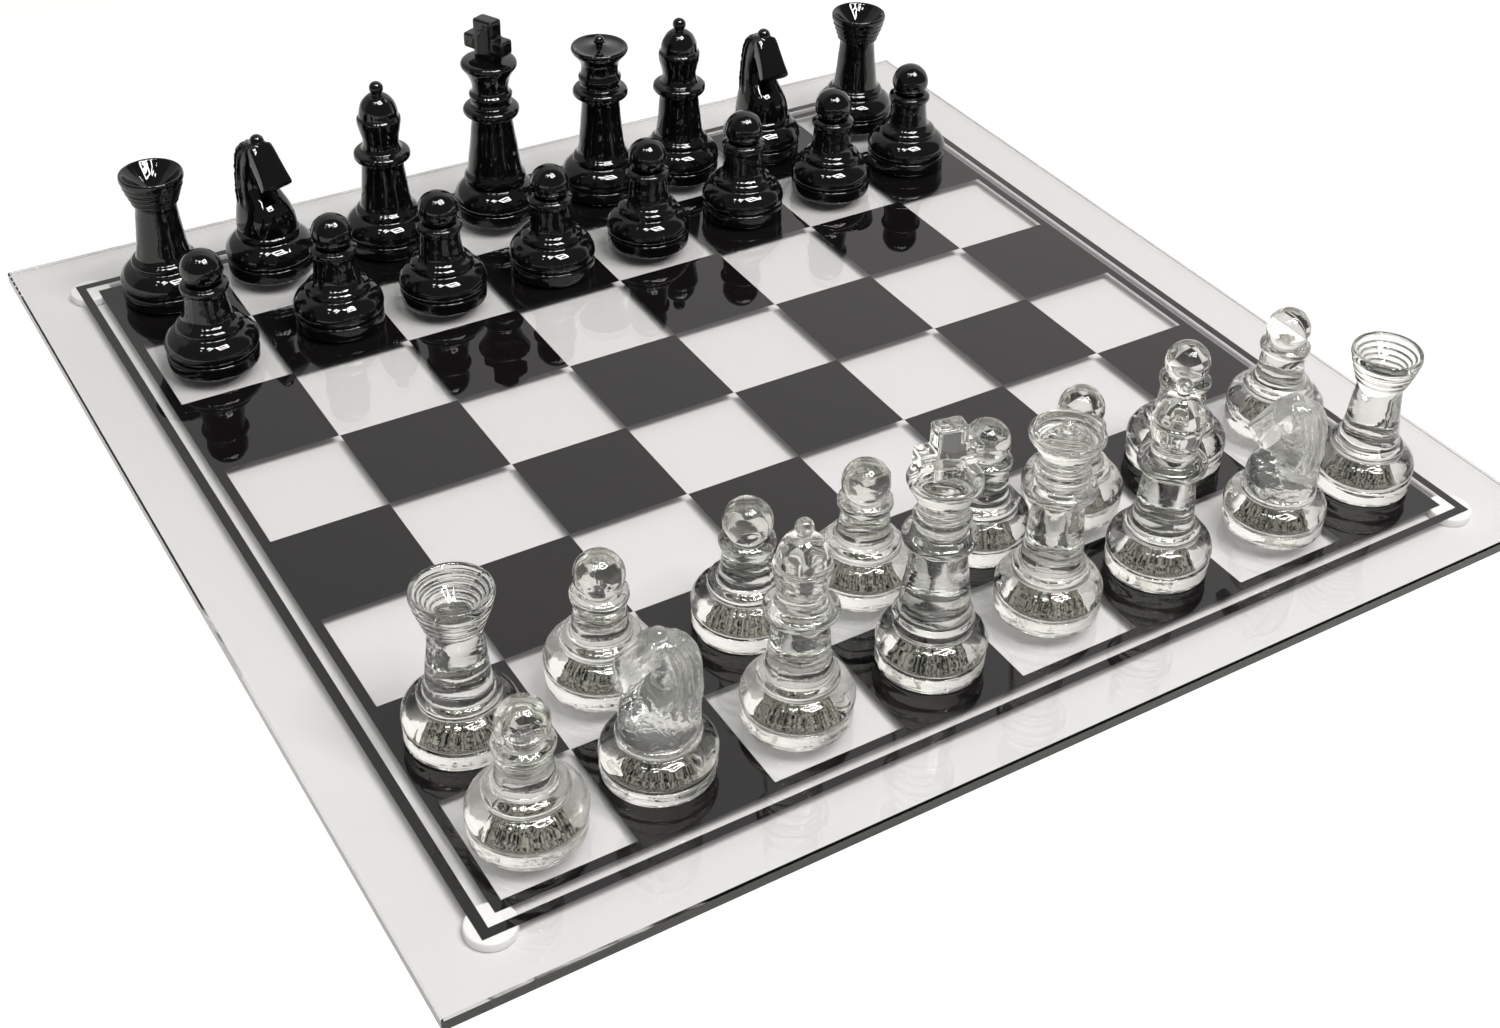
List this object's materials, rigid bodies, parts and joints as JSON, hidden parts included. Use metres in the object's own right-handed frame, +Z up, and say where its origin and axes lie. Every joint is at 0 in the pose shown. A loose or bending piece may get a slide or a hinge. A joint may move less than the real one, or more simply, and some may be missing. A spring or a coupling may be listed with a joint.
{
  "type": "chess set with board",
  "caption": "Glass chess set: clear and black moulded glass men on a square clear glass board with a black chequered print on its underside and round bumper feet.",
  "frame": {"origin": "on the table plane under the middle of the board, at the feet's undersides", "axes": "+Z up; +X along the board's front edge to the right; +Y from the clear men's side towards the black men's side"},
  "size_m": [0.35, 0.35, 0.0828],
  "materials": {
    "pane_glass": "clear polished float glass, faint green edge",
    "clear_glass": "clear moulded glass, fire-polished",
    "black_glass": "opaque black moulded glass, high gloss",
    "black_ink": "screen-printed black ink seen through glass",
    "bumper_rubber": "soft white self-adhesive bumper, satin"
  },
  "bodies": {
    "board": {"glass_board": "pane_glass", "checker_print": "black_ink", "outer_border_print": "black_ink", "foot_front_left": "bumper_rubber", "foot_front_right": "bumper_rubber", "foot_back_left": "bumper_rubber", "foot_back_right": "bumper_rubber"},
    "clear_rook_left": {"clear_rook_left": "clear_glass"},
    "clear_knight_left": {"clear_knight_left": "clear_glass"},
    "clear_bishop_left": {"clear_bishop_left": "clear_glass"},
    "clear_king": {"clear_king": "clear_glass"},
    "clear_queen": {"clear_queen": "clear_glass"},
    "clear_bishop_right": {"clear_bishop_right": "clear_glass"},
    "clear_knight_right": {"clear_knight_right": "clear_glass"},
    "clear_rook_right": {"clear_rook_right": "clear_glass"},
    "clear_pawn_1": {"clear_pawn_1": "clear_glass"},
    "clear_pawn_2": {"clear_pawn_2": "clear_glass"},
    "clear_pawn_3": {"clear_pawn_3": "clear_glass"},
    "clear_pawn_4": {"clear_pawn_4": "clear_glass"},
    "clear_pawn_5": {"clear_pawn_5": "clear_glass"},
    "clear_pawn_6": {"clear_pawn_6": "clear_glass"},
    "clear_pawn_7": {"clear_pawn_7": "clear_glass"},
    "clear_pawn_8": {"clear_pawn_8": "clear_glass"},
    "black_rook_left": {"black_rook_left": "black_glass"},
    "black_knight_left": {"black_knight_left": "black_glass"},
    "black_bishop_left": {"black_bishop_left": "black_glass"},
    "black_king": {"black_king": "black_glass"},
    "black_queen": {"black_queen": "black_glass"},
    "black_bishop_right": {"black_bishop_right": "black_glass"},
    "black_knight_right": {"black_knight_right": "black_glass"},
    "black_rook_right": {"black_rook_right": "black_glass"},
    "black_pawn_1": {"black_pawn_1": "black_glass"},
    "black_pawn_2": {"black_pawn_2": "black_glass"},
    "black_pawn_3": {"black_pawn_3": "black_glass"},
    "black_pawn_4": {"black_pawn_4": "black_glass"},
    "black_pawn_5": {"black_pawn_5": "black_glass"},
    "black_pawn_6": {"black_pawn_6": "black_glass"},
    "black_pawn_7": {"black_pawn_7": "black_glass"},
    "black_pawn_8": {"black_pawn_8": "black_glass"}
  },
  "joints": [
    {"name": "clear_rook_left_lift", "type": "slide", "parent": "board", "child": "clear_rook_left", "axis": [0, 0, 1], "range_m": [0, 0.09]},
    {"name": "clear_knight_left_lift", "type": "slide", "parent": "board", "child": "clear_knight_left", "axis": [0, 0, 1], "range_m": [0, 0.09]},
    {"name": "clear_bishop_left_lift", "type": "slide", "parent": "board", "child": "clear_bishop_left", "axis": [0, 0, 1], "range_m": [0, 0.09]},
    {"name": "clear_king_lift", "type": "slide", "parent": "board", "child": "clear_king", "axis": [0, 0, 1], "range_m": [0, 0.09]},
    {"name": "clear_queen_lift", "type": "slide", "parent": "board", "child": "clear_queen", "axis": [0, 0, 1], "range_m": [0, 0.09]},
    {"name": "clear_bishop_right_lift", "type": "slide", "parent": "board", "child": "clear_bishop_right", "axis": [0, 0, 1], "range_m": [0, 0.09]},
    {"name": "clear_knight_right_lift", "type": "slide", "parent": "board", "child": "clear_knight_right", "axis": [0, 0, 1], "range_m": [0, 0.09]},
    {"name": "clear_rook_right_lift", "type": "slide", "parent": "board", "child": "clear_rook_right", "axis": [0, 0, 1], "range_m": [0, 0.09]},
    {"name": "clear_pawn_1_lift", "type": "slide", "parent": "board", "child": "clear_pawn_1", "axis": [0, 0, 1], "range_m": [0, 0.09]},
    {"name": "clear_pawn_2_lift", "type": "slide", "parent": "board", "child": "clear_pawn_2", "axis": [0, 0, 1], "range_m": [0, 0.09]},
    {"name": "clear_pawn_3_lift", "type": "slide", "parent": "board", "child": "clear_pawn_3", "axis": [0, 0, 1], "range_m": [0, 0.09]},
    {"name": "clear_pawn_4_lift", "type": "slide", "parent": "board", "child": "clear_pawn_4", "axis": [0, 0, 1], "range_m": [0, 0.09]},
    {"name": "clear_pawn_5_lift", "type": "slide", "parent": "board", "child": "clear_pawn_5", "axis": [0, 0, 1], "range_m": [0, 0.09]},
    {"name": "clear_pawn_6_lift", "type": "slide", "parent": "board", "child": "clear_pawn_6", "axis": [0, 0, 1], "range_m": [0, 0.09]},
    {"name": "clear_pawn_7_lift", "type": "slide", "parent": "board", "child": "clear_pawn_7", "axis": [0, 0, 1], "range_m": [0, 0.09]},
    {"name": "clear_pawn_8_lift", "type": "slide", "parent": "board", "child": "clear_pawn_8", "axis": [0, 0, 1], "range_m": [0, 0.09]},
    {"name": "black_rook_left_lift", "type": "slide", "parent": "board", "child": "black_rook_left", "axis": [0, 0, 1], "range_m": [0, 0.09]},
    {"name": "black_knight_left_lift", "type": "slide", "parent": "board", "child": "black_knight_left", "axis": [0, 0, 1], "range_m": [0, 0.09]},
    {"name": "black_bishop_left_lift", "type": "slide", "parent": "board", "child": "black_bishop_left", "axis": [0, 0, 1], "range_m": [0, 0.09]},
    {"name": "black_king_lift", "type": "slide", "parent": "board", "child": "black_king", "axis": [0, 0, 1], "range_m": [0, 0.09]},
    {"name": "black_queen_lift", "type": "slide", "parent": "board", "child": "black_queen", "axis": [0, 0, 1], "range_m": [0, 0.09]},
    {"name": "black_bishop_right_lift", "type": "slide", "parent": "board", "child": "black_bishop_right", "axis": [0, 0, 1], "range_m": [0, 0.09]},
    {"name": "black_knight_right_lift", "type": "slide", "parent": "board", "child": "black_knight_right", "axis": [0, 0, 1], "range_m": [0, 0.09]},
    {"name": "black_rook_right_lift", "type": "slide", "parent": "board", "child": "black_rook_right", "axis": [0, 0, 1], "range_m": [0, 0.09]},
    {"name": "black_pawn_1_lift", "type": "slide", "parent": "board", "child": "black_pawn_1", "axis": [0, 0, 1], "range_m": [0, 0.09]},
    {"name": "black_pawn_2_lift", "type": "slide", "parent": "board", "child": "black_pawn_2", "axis": [0, 0, 1], "range_m": [0, 0.09]},
    {"name": "black_pawn_3_lift", "type": "slide", "parent": "board", "child": "black_pawn_3", "axis": [0, 0, 1], "range_m": [0, 0.09]},
    {"name": "black_pawn_4_lift", "type": "slide", "parent": "board", "child": "black_pawn_4", "axis": [0, 0, 1], "range_m": [0, 0.09]},
    {"name": "black_pawn_5_lift", "type": "slide", "parent": "board", "child": "black_pawn_5", "axis": [0, 0, 1], "range_m": [0, 0.09]},
    {"name": "black_pawn_6_lift", "type": "slide", "parent": "board", "child": "black_pawn_6", "axis": [0, 0, 1], "range_m": [0, 0.09]},
    {"name": "black_pawn_7_lift", "type": "slide", "parent": "board", "child": "black_pawn_7", "axis": [0, 0, 1], "range_m": [0, 0.09]},
    {"name": "black_pawn_8_lift", "type": "slide", "parent": "board", "child": "black_pawn_8", "axis": [0, 0, 1], "range_m": [0, 0.09]}
  ]
}
